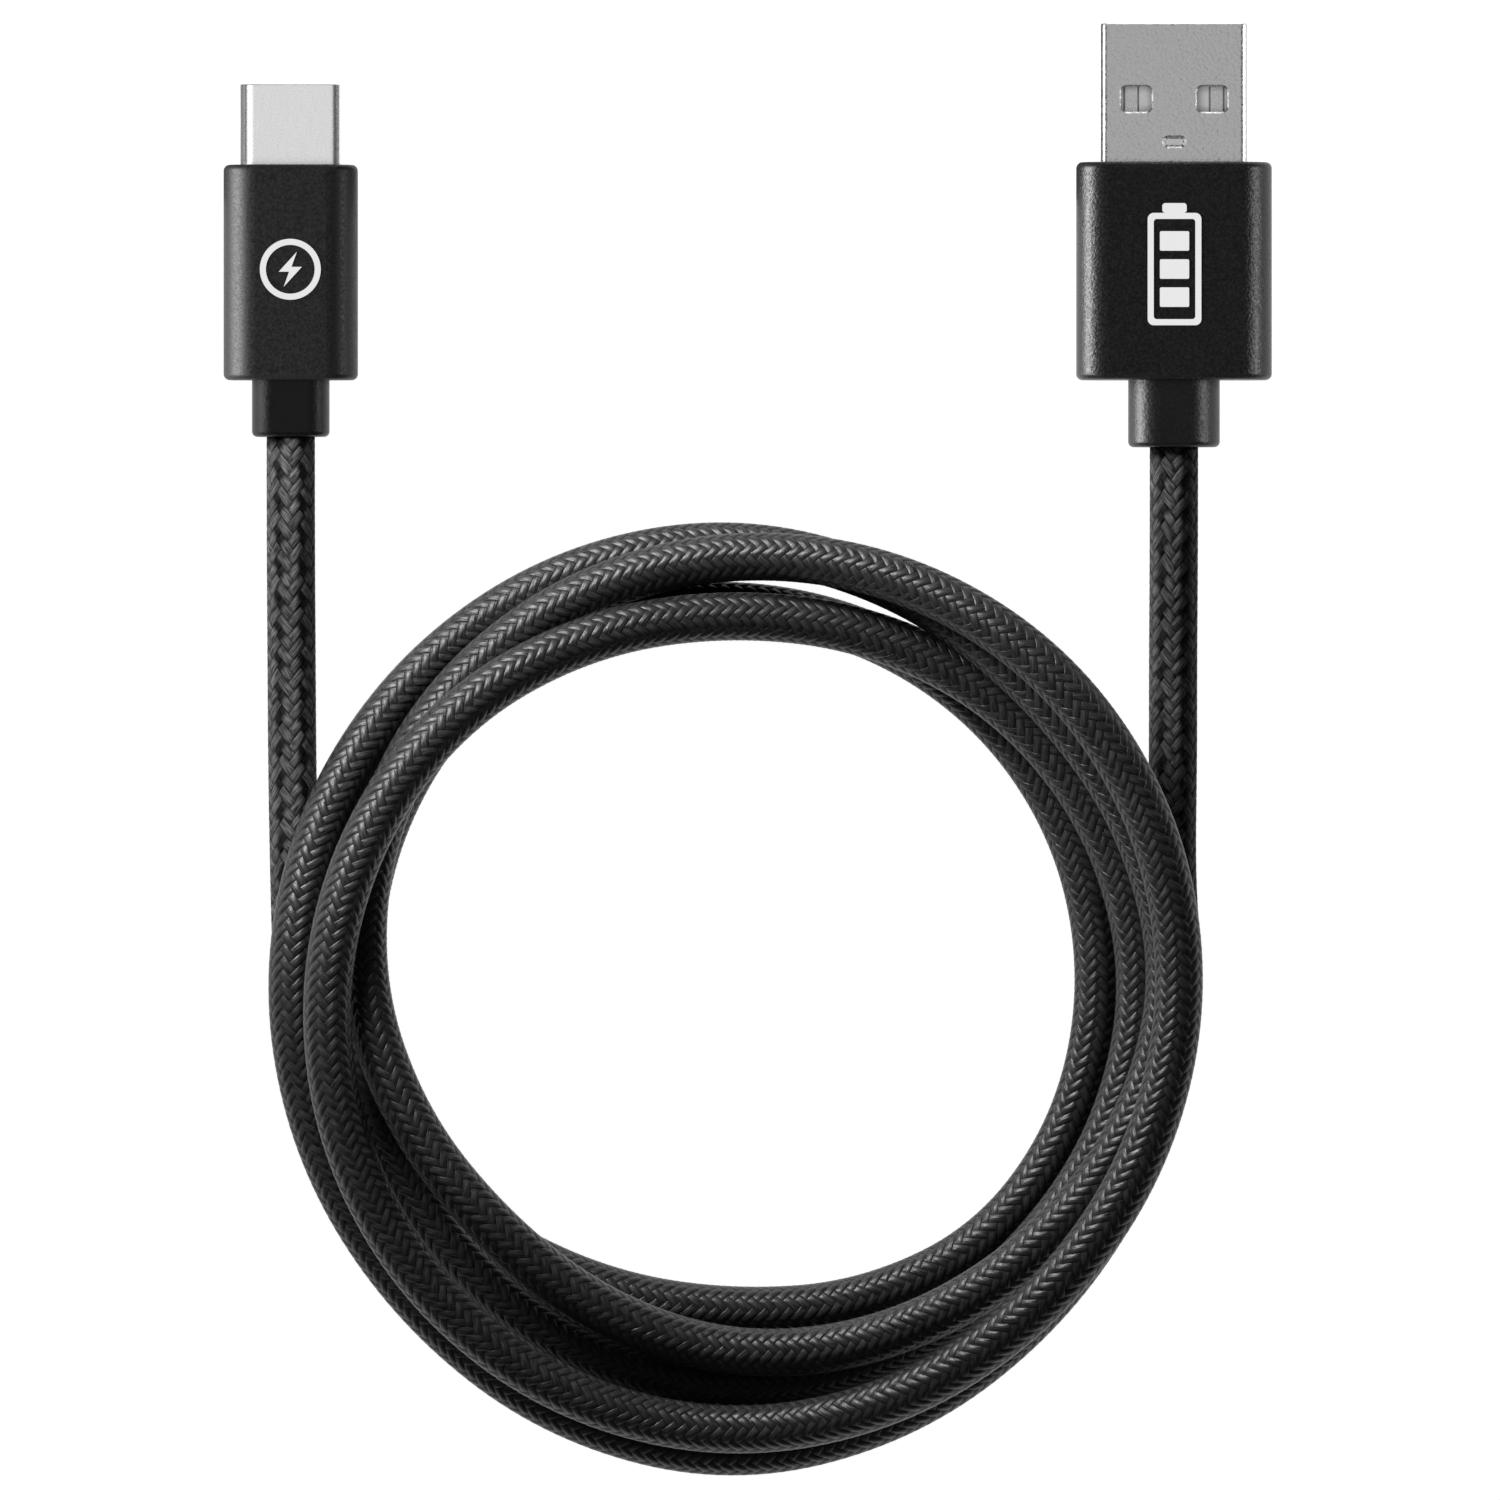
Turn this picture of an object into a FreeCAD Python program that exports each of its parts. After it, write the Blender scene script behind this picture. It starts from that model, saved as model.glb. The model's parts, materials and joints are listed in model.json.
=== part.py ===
import FreeCAD, Part
import math
import os
from types import SimpleNamespace

# A braided charging cable with a USB-A plug and a USB-C plug, coiled on a table.
# Millimetres. Z = 0 is the table, both plugs point along +Y, and the USB-C plug is the one at -X.
# The origin lies on the table, at the middle of the box round the two plugs.

Vector = FreeCAD.Vector
LONG_AXIS = Vector(0, 1, 0)
TOUCH = 1e-4            # two places closer than this are the same place

# The cord, from the outside in.
CORD_D = 4.0            # over the braid
JACKET_D = 3.4          # over the inner jacket
JACKET_BORE = 2.4       # the room that the four wires share
WIRE_D = 0.7
WIRE_PITCH = 0.96       # the four wires run on the corners of a square of this side
WIRE_NAMES = ["power", "data_minus", "data_plus", "ground"]

# The USB-A plug. Its shell has the standard 12.0 by 4.5 by 18.75 mm.
USB_A = SimpleNamespace(
    x=34.95,
    tip_y=17.35,
    shell_width=12.0,
    shell_height=4.5,
    shell_round=0.55,
    shell_wall=0.3,
    shell_length=18.75,
    lip_round=0.12,
    housing_front_y=6.0,
    housing_width=16.0,
    housing_height=8.0,
    housing_round=2.6,
    housing_wall=1.0,
    neck_width=7.5,
    neck_height=6.0,
    neck_round=2.6,
    neck_end_y=-17.35,
    shield_front_y=1.0,
    shield_back_y=-8.0,
    shield_wall=0.3,
)

# The USB-C plug. Its shell has the standard 8.25 by 2.4 mm section.
USB_C = SimpleNamespace(
    x=-37.45,
    tip_y=12.4,
    shell_width=8.25,
    shell_height=2.4,
    shell_round=1.15,
    shell_wall=0.2,
    shell_length=9.5,
    lip_round=0.08,
    housing_front_y=5.8,
    housing_width=11.0,
    housing_height=6.5,
    housing_round=2.6,
    housing_wall=0.7,
    neck_width=6.35,
    neck_height=4.9,
    neck_round=1.9,
    neck_end_y=-16.5,
    shield_front_y=4.6,
    shield_back_y=-7.0,
    shield_wall=0.2,
)

HOUSING_BACK_Y = -11.85
HOUSING_EASE = 0.5      # rounding of a housing's front and back edges
NECK_EASE = 0.45        # rounding of a strain relief's free end
FLANGE_LENGTH = 1.0     # of the strain relief's foot inside the housing
COLLAR_WALL = 0.2       # of the rear shield's crimped collar
COLLAR_LENGTH = 1.6

# USB-A details, on the plug's own axis.
WINDOW_WIDTH = 2.5
WINDOW_LENGTH = 2.1
WINDOW_ROUND = 0.5
WINDOW_X = 3.1
WINDOW_Y = 11.15
WINDOW_BEVEL = 0.12
SLOT_WIDTH = 1.45
SLOT_LENGTH = 0.5
SLOT_ROUND = 0.24
SLOT_Y = 7.65
SLOT_BEVEL = 0.27
SEAM_WIDTH = 0.06
TONGUE_TIP_Y = 16.75
TONGUE_TOP_Z = -0.1
BLOCK_FRONT_Y = 8.45
CATCH_RISE = 0.1        # the block's catch stands this far up into the latch slot
A_CONTACT_X = [-3.5, -1.0, 1.0, 3.5]
A_CONTACT_TIP_Y = [16.0, 15.0, 15.0, 16.0]
A_CONTACT_WIDTH = 1.0
A_CONTACT_THICKNESS = 0.25
A_CONTACT_TOP_Z = -0.05
A_CONTACT_END_Y = -3.6
A_CONTACT_NOSE = 0.22
A_GROOVE_WIDTH = 1.3
A_WIRE_BENDS_Y = [-6.6, -4.4]
A_WIRE_END_Y = -2.0

# USB-C details, on the plug's own axis.
C_INSULATOR_TIP_Y = 12.05
C_INSULATOR_END_Y = 4.5
C_MOUTH_WIDTH = 6.9
C_MOUTH_HEIGHT = 0.8
C_MOUTH_ROUND = 0.3
C_MOUTH_END_Y = 6.2
C_CONTACT_PITCH = 0.5
C_UPPER_PINS = [1, 4, 5, 6, 7, 9, 12]
C_LOWER_PINS = [1, 4, 5, 9, 12]
C_PIN_ROW = 12          # places in a full row
C_CONTACT_WIDTH = 0.25
C_CONTACT_THICKNESS = 0.12
C_CONTACT_TIP_Y = 11.4
C_CONTACT_END_Y = 2.0
C_BUMP_Y = 10.4
C_BUMP_LENGTH = 0.5
C_BUMP_RISE = 0.1
C_LATCH_ARM_WALL = 0.2
C_LATCH_ARM_HEIGHT = 0.6
C_LATCH_BAR_HEIGHT = 0.2
C_LATCH_HOOK = 0.3
C_LATCH_TIP_Y = 10.8
C_SPRING_WIDTH = 4.8
C_SPRING_THICKNESS = 0.15
C_SPRING_TIP_Y = 11.65
C_SPRING_LENGTH = 3.6
C_SPRING_LIP = 0.1
C_BOARD_WIDTH = 6.8
C_BOARD_THICKNESS = C_MOUTH_HEIGHT
C_BOARD_END_Y = -3.2
C_RESISTOR_SIZE = (1.0, 0.5, 0.35)
C_RESISTOR_X = 2.2
C_RESISTOR_Y = 0.6
C_WIRE_X = [-2.4, -0.8, 0.8, 2.4]
C_WIRE_BENDS_Y = [-6.2, -4.4]
C_WIRE_END_Y = -1.0

SOLDER_SIZE = (1.0, 1.2, 0.5)

# Printed marks: a battery outline on the USB-A housing, a ring with a bolt on the USB-C housing.
MARK_THICKNESS = 0.05
MARK_LINE = 0.5
BATTERY_WIDTH = 4.4
BATTERY_LENGTH = 9.2
BATTERY_CAP = (2.0, 0.8)
BATTERY_BAR = (2.4, 1.6)
BATTERY_BAR_PITCH = 2.3
BATTERY_Y = -2.8
RING_D = 5.0
RING_Y = -2.8
BOLT = [(0.55, 1.45), (-0.95, -0.2), (-0.1, -0.2), (-0.55, -1.45), (0.95, 0.2), (0.1, 0.2)]

# The coil lies in front of the plugs. Its solid is the outer shape of all its turns.
COIL_TOP_Z = 15.2
COIL_OUTER = SimpleNamespace(x=-1.25, y=-62.3, half_x=38.2, half_y=39.1)
COIL_INNER = SimpleNamespace(x=-1.3, y=-59.7, half_x=28.2, half_y=26.4)
COIL_EASE = 2.0
STUB_LENGTH = 14.0      # the leads enter the ring along straight stubs of this length

# The two leads, from strain relief to coil.
C_LEAD = [(-37.45, -16.5, 3.25), (-37.45, -24.5, 3.25), (-37.4, -34.5, 2.0), (-37.35, -43.0, 2.0)]
A_LEAD = [(34.95, -17.35, 4.0), (34.95, -25.0, 4.0), (34.9, -35.0, 2.0), (34.9, -43.0, 2.0)]
ARC_SHARE = 0.45        # an arc starts this share of the shorter run before its corner


def block(x, y, z):
    """A box between the low and high ends given for each axis."""
    return Part.makeBox(x[1] - x[0], y[1] - y[0], z[1] - z[0], Vector(x[0], y[0], z[0]))


def rounded_outline(width, depth, rounding):
    """A rounded rectangle about the origin, in the XY plane."""
    across = width / 2 - rounding
    along = depth / 2 - rounding
    centres = [(across, along), (-across, along), (-across, -along), (across, -along)]
    arcs = []
    for quarter, (x, y) in enumerate(centres):
        angles = [math.radians(90 * quarter + turn) for turn in (0, 45, 90)]
        arcs.append([Vector(x + rounding * math.cos(a), y + rounding * math.sin(a), 0) for a in angles])
    edges = []
    for arc, following in zip(arcs, arcs[1:] + arcs[:1]):
        edges.append(Part.Arc(*arc).toShape())
        edges.append(Part.LineSegment(arc[-1], following[0]).toShape())
    return Part.Wire(edges)


def plate(width, depth, rounding, low_z, high_z):
    """An upright prism on a rounded rectangle about the Z axis."""
    prism = Part.Face(rounded_outline(width, depth, rounding)).extrude(Vector(0, 0, high_z - low_z))
    prism.translate(Vector(0, 0, low_z))
    return prism


def bar(width, height, rounding, low_y, high_y):
    """A prism along the plug's axis on a rounded rectangle."""
    prism = plate(width, height, rounding, low_y, high_y)
    prism.rotate(Vector(0, 0, 0), Vector(1, 0, 0), -90)
    return prism


def rod(diameter, low_y, high_y):
    """A round bar along the plug's axis."""
    return Part.makeCylinder(diameter / 2, high_y - low_y, Vector(0, low_y, 0), LONG_AXIS)


def ease_end(solid, y, radius):
    """Round every edge of an end face at y."""
    edges = [e for e in solid.Edges if all(abs(v.Y - y) < TOUCH for v in e.Vertexes)]
    return solid.makeFillet(radius, edges)


def bent_path(points):
    """Straight runs joined by tangent arcs as large as the runs allow, with the arcs' radii."""
    corners = [Vector(*p) for p in points]
    edges = []
    radii = []
    start = corners[0]
    for before, corner, after in zip(corners, corners[1:], corners[2:]):
        into = (corner - before).normalize()
        out = (after - corner).normalize()
        half_turn = into.getAngle(out) / 2
        setback = ARC_SHARE * min(corner.distanceToPoint(before), corner.distanceToPoint(after))
        radius = setback / math.tan(half_turn)
        towards_centre = (out - into).normalize()
        arc_start = corner - into * setback
        arc_middle = corner + towards_centre * (radius / math.cos(half_turn) - radius)
        arc_end = corner + out * setback
        edges.append(Part.LineSegment(start, arc_start).toShape())
        edges.append(Part.Arc(arc_start, arc_middle, arc_end).toShape())
        radii.append(radius)
        start = arc_end
    edges.append(Part.LineSegment(start, corners[-1]).toShape())
    return Part.Wire(edges), radii


def bent_tube(points, diameter):
    """A round solid along a bent path."""
    path, _ = bent_path(points)
    direction = Vector(*points[1]) - Vector(*points[0])
    section = Part.Wire(Part.makeCircle(diameter / 2, Vector(*points[0]), direction))
    return path.makePipeShell([section], True, True)


def inner_section(plug):
    """Width, height and corner rounding of the room inside a plug's shell."""
    return (
        plug.shell_width - 2 * plug.shell_wall,
        plug.shell_height - 2 * plug.shell_wall,
        max(plug.shell_round - plug.shell_wall, plug.shell_wall),
    )


def shield_section(plug):
    """Width, height and corner rounding over a plug's rear shield."""
    return (
        plug.shell_width + 2 * plug.shield_wall,
        plug.shell_height + 2 * plug.shield_wall,
        plug.shell_round + plug.shield_wall,
    )


def cavity_section(plug):
    """Width, height and corner rounding of the room inside a plug's housing."""
    return (
        plug.housing_width - 2 * plug.housing_wall,
        plug.housing_height - 2 * plug.housing_wall,
        plug.housing_round - plug.housing_wall,
    )


def shell_tube(plug):
    """The plain metal tube of a plug, with its mouth edges rounded."""
    end_y = plug.tip_y - plug.shell_length
    outer = bar(plug.shell_width, plug.shell_height, plug.shell_round, end_y, plug.tip_y)
    tube = outer.cut(bar(*inner_section(plug), end_y, plug.tip_y))
    return ease_end(tube, plug.tip_y, plug.lip_round)


def housing(plug):
    """The outer casing: a rounded hollow bar, open to the shell in front and to the relief behind."""
    body = bar(
        plug.housing_width, plug.housing_height, plug.housing_round, HOUSING_BACK_Y, plug.housing_front_y
    )
    body = ease_end(body, plug.housing_front_y, HOUSING_EASE)
    body = ease_end(body, HOUSING_BACK_Y, HOUSING_EASE)
    inside = bar(
        *cavity_section(plug), HOUSING_BACK_Y + plug.housing_wall, plug.housing_front_y - plug.housing_wall
    )
    mouth = bar(plug.shell_width, plug.shell_height, plug.shell_round, 0, plug.housing_front_y)
    neck = bar(plug.neck_width, plug.neck_height, plug.neck_round, HOUSING_BACK_Y, 0)
    return body.cut(inside).cut(mouth).cut(neck)


def strain_relief(plug):
    """A sleeve round the cord, with a foot that the housing holds."""
    foot_y = HOUSING_BACK_Y + plug.housing_wall
    neck = bar(plug.neck_width, plug.neck_height, plug.neck_round, plug.neck_end_y, foot_y)
    neck = ease_end(neck, plug.neck_end_y, NECK_EASE)
    foot = bar(*cavity_section(plug), foot_y, foot_y + FLANGE_LENGTH)
    return neck.fuse(foot).cut(rod(CORD_D, plug.neck_end_y, foot_y + FLANGE_LENGTH)).removeSplitter()


def rear_shield(plug):
    """The back can: a sleeve over the shell's end, a back wall, and a collar crimped on the braid."""
    wall_y = plug.shield_back_y + plug.shield_wall
    collar_d = CORD_D + 2 * COLLAR_WALL
    can = bar(*shield_section(plug), plug.shield_back_y, plug.shield_front_y)
    can = can.fuse(rod(collar_d, plug.shield_back_y - COLLAR_LENGTH, wall_y))
    room = bar(plug.shell_width, plug.shell_height, plug.shell_round, wall_y, plug.shield_front_y)
    grip = rod(CORD_D, plug.shield_back_y - COLLAR_LENGTH, plug.shield_back_y)
    wire_hole = rod(JACKET_BORE, plug.shield_back_y, wall_y)
    return can.cut(room).cut(grip).cut(wire_hole)


def inner_mould(plug):
    """The filling between the housing and the metal parts."""
    front_y = plug.housing_front_y - plug.housing_wall
    back_y = HOUSING_BACK_Y + plug.housing_wall + FLANGE_LENGTH
    filling = bar(*cavity_section(plug), back_y, front_y)
    shell_room = bar(plug.shell_width, plug.shell_height, plug.shell_round, 0, front_y)
    shield_room = bar(*shield_section(plug), plug.shield_back_y, plug.shield_front_y)
    collar_room = rod(
        CORD_D + 2 * COLLAR_WALL, plug.shield_back_y - COLLAR_LENGTH, plug.shield_back_y + plug.shield_wall
    )
    cord_room = rod(CORD_D, back_y, plug.shield_back_y)
    return filling.cut(shell_room).cut(shield_room).cut(collar_room).cut(cord_room)


def sleeve_end(plug, outer_d, inner_d):
    """A layer of the cord between the relief's free end and the rear shield."""
    layer = rod(outer_d, plug.neck_end_y, plug.shield_back_y)
    return layer.cut(rod(inner_d, plug.neck_end_y, plug.shield_back_y))


def wire_routes(plug, end_xs, bends_y, end_y, end_z):
    """Where the four wires run: straight through the jacket, then fanned out to their joints."""
    side = WIRE_PITCH / 2
    starts = [(-side, side), (-side, -side), (side, -side), (side, side)]
    routes = []
    for (x, z), end_x in zip(starts, end_xs):
        routes.append(
            [(x, plug.neck_end_y, z), (x, bends_y[0], z), (end_x, bends_y[1], end_z), (end_x, end_y, end_z)]
        )
    return routes


def solder_joints(end_xs, end_y, seat_z, metal):
    """A small hump of solder over each wire's end, clear of the wires and of the metal given."""
    width, length, height = SOLDER_SIZE
    humps = []
    for x in end_xs:
        hump = block((x - width / 2, x + width / 2), (end_y - length / 2, end_y + length / 2),
                     (seat_z, seat_z + height))
        upper = [e for e in hump.Edges if e.BoundBox.ZMin > seat_z + height - TOUCH]
        humps.append(hump.makeFillet(height / 3, upper).cut(metal))
    return Part.Compound(humps)


def opening_rims(shell, plug, y, reach):
    """The outer edges of the openings in a shell's two flat faces, near y."""
    rims = []
    for edge in shell.Edges:
        box = edge.BoundBox
        on_face = box.ZLength < TOUCH and abs(abs(box.ZMax) - plug.shell_height / 2) < TOUCH
        if on_face and abs(box.Center.y - y) < reach:
            rims.append(edge)
    return rims


def usb_a_shell():
    """The folded steel shell, with windows on both faces, a latch slot on top and a seam below."""
    plug = USB_A
    shell = shell_tube(plug)
    for side in (-1, 1):
        window = plate(WINDOW_WIDTH, WINDOW_LENGTH, WINDOW_ROUND, -plug.shell_height, plug.shell_height)
        window.translate(Vector(side * WINDOW_X, WINDOW_Y, 0))
        shell = shell.cut(window)
    slot = plate(SLOT_WIDTH, SLOT_LENGTH, SLOT_ROUND, 0, plug.shell_height)
    slot.translate(Vector(0, SLOT_Y, 0))
    shell = shell.cut(slot)
    shell = shell.makeChamfer(WINDOW_BEVEL, opening_rims(shell, plug, WINDOW_Y, WINDOW_LENGTH))
    shell = shell.makeChamfer(SLOT_BEVEL, opening_rims(shell, plug, SLOT_Y, SLOT_LENGTH))
    end_y = plug.tip_y - plug.shell_length
    seam = block((-SEAM_WIDTH / 2, SEAM_WIDTH / 2), (end_y - 1, plug.tip_y + 1), (-plug.shell_height, 0))
    return shell.cut(seam)


def usb_a_contacts():
    """Four flat contacts: the two outer ones reach further forward."""
    contacts = []
    for x, tip_y in zip(A_CONTACT_X, A_CONTACT_TIP_Y):
        strip = block(
            (x - A_CONTACT_WIDTH / 2, x + A_CONTACT_WIDTH / 2),
            (A_CONTACT_END_Y, tip_y),
            (A_CONTACT_TOP_Z - A_CONTACT_THICKNESS, A_CONTACT_TOP_Z),
        )
        tip_edges = [e for e in strip.Edges if e.BoundBox.YMin > tip_y - TOUCH]
        nose = [e for e in tip_edges if e.BoundBox.ZMin > A_CONTACT_TOP_Z - TOUCH]
        contacts.append(strip.makeFillet(A_CONTACT_NOSE, nose))
    return contacts


def usb_a_tongue(contacts):
    """The tongue and the block behind it, moulded round the contacts."""
    plug = USB_A
    end_y = plug.tip_y - plug.shell_length
    width, height, rounding = inner_section(plug)
    rear = bar(width, height, rounding, end_y, BLOCK_FRONT_Y)
    tongue = bar(width, height, rounding, end_y, TONGUE_TIP_Y)
    tongue = tongue.common(block((-width, width), (end_y, TONGUE_TIP_Y), (-height, TONGUE_TOP_Z)))
    catch = plate(SLOT_WIDTH / 2, SLOT_LENGTH / 2, SLOT_ROUND / 2, 0, height / 2 + CATCH_RISE)
    catch.translate(Vector(0, SLOT_Y, 0))
    body = rear.fuse(tongue).fuse(catch).removeSplitter()
    for x, tip_y, contact in zip(A_CONTACT_X, A_CONTACT_TIP_Y, contacts):
        groove = block(
            (x - A_GROOVE_WIDTH / 2, x + A_GROOVE_WIDTH / 2),
            (BLOCK_FRONT_Y, tip_y),
            (A_CONTACT_TOP_Z - A_CONTACT_THICKNESS, height),
        )
        body = body.cut(groove).cut(contact)
    return body


def usb_c_contacts(pins, side):
    """One row of fine contacts, above (side 1) or below (side -1) the mouth."""
    seat = C_MOUTH_HEIGHT / 2
    strips = []
    for pin in pins:
        x = side * (pin - (C_PIN_ROW + 1) / 2) * C_CONTACT_PITCH
        across = (x - C_CONTACT_WIDTH / 2, x + C_CONTACT_WIDTH / 2)
        strip = block(across, (C_CONTACT_END_Y, C_CONTACT_TIP_Y), (seat, seat + C_CONTACT_THICKNESS))
        bump = block(across, (C_BUMP_Y - C_BUMP_LENGTH / 2, C_BUMP_Y + C_BUMP_LENGTH / 2),
                     (seat - C_BUMP_RISE, seat))
        strip = strip.fuse(bump).removeSplitter()
        if side < 0:
            strip = strip.mirror(Vector(0, 0, 0), Vector(0, 0, 1))
        strips.append(strip)
    return Part.Compound(strips)


def usb_c_latch():
    """The mid plate: a bar behind the mouth and two hooked arms along its sides."""
    inner_x = C_MOUTH_WIDTH / 2
    outer_x = inner_x + C_LATCH_ARM_WALL
    bar_y = (C_INSULATOR_END_Y + C_MOUTH_END_Y) / 2
    half_arm = C_LATCH_ARM_HEIGHT / 2
    half_bar = C_LATCH_BAR_HEIGHT / 2
    latch = block((-outer_x, outer_x), (bar_y, bar_y + C_LATCH_ARM_HEIGHT), (-half_bar, half_bar))
    for side in (-1, 1):
        arm_x = sorted((side * inner_x, side * outer_x))
        hook_x = sorted((side * (inner_x - C_LATCH_HOOK), side * outer_x))
        latch = latch.fuse(block(arm_x, (bar_y, C_LATCH_TIP_Y), (-half_arm, half_arm)))
        latch = latch.fuse(
            block(hook_x, (C_LATCH_TIP_Y - C_BUMP_LENGTH, C_LATCH_TIP_Y), (-half_arm, half_arm))
        )
    return latch.removeSplitter()


def usb_c_ground_spring(side):
    """A thin plate under the shell, turned in at the mouth, above (1) or below (-1)."""
    _, height, _ = inner_section(USB_C)
    top_z = height / 2
    half = C_SPRING_WIDTH / 2
    flat = block((-half, half), (C_SPRING_TIP_Y - C_SPRING_LENGTH, C_SPRING_TIP_Y),
                 (top_z - C_SPRING_THICKNESS, top_z))
    lip = block((-half, half), (C_SPRING_TIP_Y - C_SPRING_LIP, C_SPRING_TIP_Y), (C_MOUTH_HEIGHT / 2, top_z))
    spring = flat.fuse(lip).removeSplitter()
    if side < 0:
        spring = spring.mirror(Vector(0, 0, 0), Vector(0, 0, 1))
    return spring


def usb_c_insulator(metal):
    """The plastic body that fills the shell round the mouth, cut for the metal it holds."""
    body = bar(*inner_section(USB_C), C_INSULATOR_END_Y, C_INSULATOR_TIP_Y)
    body = body.cut(bar(C_MOUTH_WIDTH, C_MOUTH_HEIGHT, C_MOUTH_ROUND, C_MOUTH_END_Y, C_INSULATOR_TIP_Y))
    for piece in metal:
        body = body.cut(piece)
    return body


def usb_c_board():
    """The board behind the insulator, between the two rows of contacts."""
    half_width = C_BOARD_WIDTH / 2
    half_thickness = C_BOARD_THICKNESS / 2
    return block((-half_width, half_width), (C_BOARD_END_Y, C_INSULATOR_END_Y),
                 (-half_thickness, half_thickness))


def usb_c_resistor():
    """A chip resistor on the board."""
    width, length, height = C_RESISTOR_SIZE
    base = C_BOARD_THICKNESS / 2
    return block((C_RESISTOR_X - width / 2, C_RESISTOR_X + width / 2),
                 (C_RESISTOR_Y - length / 2, C_RESISTOR_Y + length / 2), (base, base + height))


def battery_mark():
    """A battery outline with a cap and three bars, flat on Z = 0."""
    line = 2 * MARK_LINE
    outline = plate(BATTERY_WIDTH, BATTERY_LENGTH, MARK_LINE, 0, MARK_THICKNESS)
    inside = plate(BATTERY_WIDTH - line, BATTERY_LENGTH - line, MARK_LINE / 2, 0, MARK_THICKNESS)
    cap = plate(*BATTERY_CAP, MARK_LINE / 2, 0, MARK_THICKNESS)
    cap.translate(Vector(0, (BATTERY_LENGTH + BATTERY_CAP[1]) / 2 - TOUCH, 0))
    pieces = [outline.cut(inside).fuse(cap).removeSplitter()]
    for step in (-1, 0, 1):
        level = plate(*BATTERY_BAR, MARK_LINE / 4, 0, MARK_THICKNESS)
        level.translate(Vector(0, step * BATTERY_BAR_PITCH, 0))
        pieces.append(level)
    return Part.Compound(pieces)


def ring_mark():
    """A ring with a bolt in it, flat on Z = 0."""
    ring = Part.makeCylinder(RING_D / 2, MARK_THICKNESS)
    ring = ring.cut(Part.makeCylinder(RING_D / 2 - MARK_LINE, MARK_THICKNESS))
    corners = [Vector(x, y, 0) for x, y in BOLT]
    bolt = Part.Face(Part.makePolygon(corners + corners[:1])).extrude(Vector(0, 0, MARK_THICKNESS))
    return Part.Compound([ring, bolt])


def plug_nodes(name, plug):
    """The pieces that both plugs have, on the plug's own axis."""
    return {
        f"{name}_rear_shield": rear_shield(plug),
        f"{name}_jacket_end": sleeve_end(plug, JACKET_D, JACKET_BORE),
        f"{name}_braid_end": sleeve_end(plug, CORD_D, JACKET_D),
        f"{name}_inner_mould": inner_mould(plug),
        f"{name}_housing": housing(plug),
        f"{name}_strain_relief": strain_relief(plug),
    }


def wire_nodes(name, plug, end_xs, bends_y, end_y, seat_z, metal):
    """A plug's four wires and their solder joints."""
    routes = wire_routes(plug, end_xs, bends_y, end_y, seat_z + WIRE_D / 2)
    nodes = {}
    for wire_name, route in zip(WIRE_NAMES, routes):
        nodes[f"{name}_wire_{wire_name}"] = bent_tube(route, WIRE_D)
    soldered = Part.Compound(list(nodes.values()) + metal)
    nodes[f"{name}_solder_joints"] = solder_joints(end_xs, end_y, seat_z, soldered)
    return nodes


def usb_a_nodes():
    """Every piece of the USB-A plug, on its own axis."""
    contacts = usb_a_contacts()
    nodes = {"usb_a_shell": usb_a_shell(), "usb_a_tongue": usb_a_tongue(contacts)}
    for wire_name, contact in zip(WIRE_NAMES, contacts):
        nodes[f"usb_a_contact_{wire_name}"] = contact
    seat_z = A_CONTACT_TOP_Z
    nodes.update(wire_nodes("usb_a", USB_A, A_CONTACT_X, A_WIRE_BENDS_Y, A_WIRE_END_Y, seat_z, contacts))
    nodes.update(plug_nodes("usb_a", USB_A))
    mark = battery_mark()
    mark.translate(Vector(0, BATTERY_Y, USB_A.housing_height / 2))
    nodes["usb_a_mark"] = mark
    return nodes


def usb_c_nodes():
    """Every piece of the USB-C plug, on its own axis."""
    metal = {
        "usb_c_upper_contacts": usb_c_contacts(C_UPPER_PINS, 1),
        "usb_c_lower_contacts": usb_c_contacts(C_LOWER_PINS, -1),
        "usb_c_latch": usb_c_latch(),
        "usb_c_upper_ground_spring": usb_c_ground_spring(1),
        "usb_c_lower_ground_spring": usb_c_ground_spring(-1),
    }
    nodes = {"usb_c_shell": shell_tube(USB_C), "usb_c_insulator": usb_c_insulator(metal.values())}
    nodes.update(metal)
    nodes["usb_c_board"] = usb_c_board()
    nodes["usb_c_resistor"] = usb_c_resistor()
    seat_z = C_BOARD_THICKNESS / 2
    nodes.update(wire_nodes("usb_c", USB_C, C_WIRE_X, C_WIRE_BENDS_Y, C_WIRE_END_Y, seat_z, []))
    nodes.update(plug_nodes("usb_c", USB_C))
    mark = ring_mark()
    mark.translate(Vector(0, RING_Y, USB_C.housing_height / 2))
    nodes["usb_c_mark"] = mark
    return nodes


def ellipse_prism(outline, top_z):
    """An upright prism on an ellipse."""
    centre = Vector(outline.x, outline.y, 0)
    long_half = max(outline.half_x, outline.half_y)
    short_half = min(outline.half_x, outline.half_y)
    curve = Part.Ellipse(centre, long_half, short_half).toShape()
    if outline.half_y > outline.half_x:
        curve.rotate(centre, Vector(0, 0, 1), 90)
    return Part.Face(Part.Wire(curve)).extrude(Vector(0, 0, top_z))


def cable_coil():
    """One closed ring round all the turns, with a round stub that meets each lead."""
    ring = ellipse_prism(COIL_OUTER, COIL_TOP_Z).cut(ellipse_prism(COIL_INNER, COIL_TOP_Z))
    ring = ring.makeFillet(COIL_EASE, ring.Edges)
    for lead in (C_LEAD, A_LEAD):
        into = (Vector(*lead[-1]) - Vector(*lead[-2])).normalize()
        ring = ring.fuse(Part.makeCylinder(CORD_D / 2, STUB_LENGTH, Vector(*lead[-1]), into))
    return ring


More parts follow.
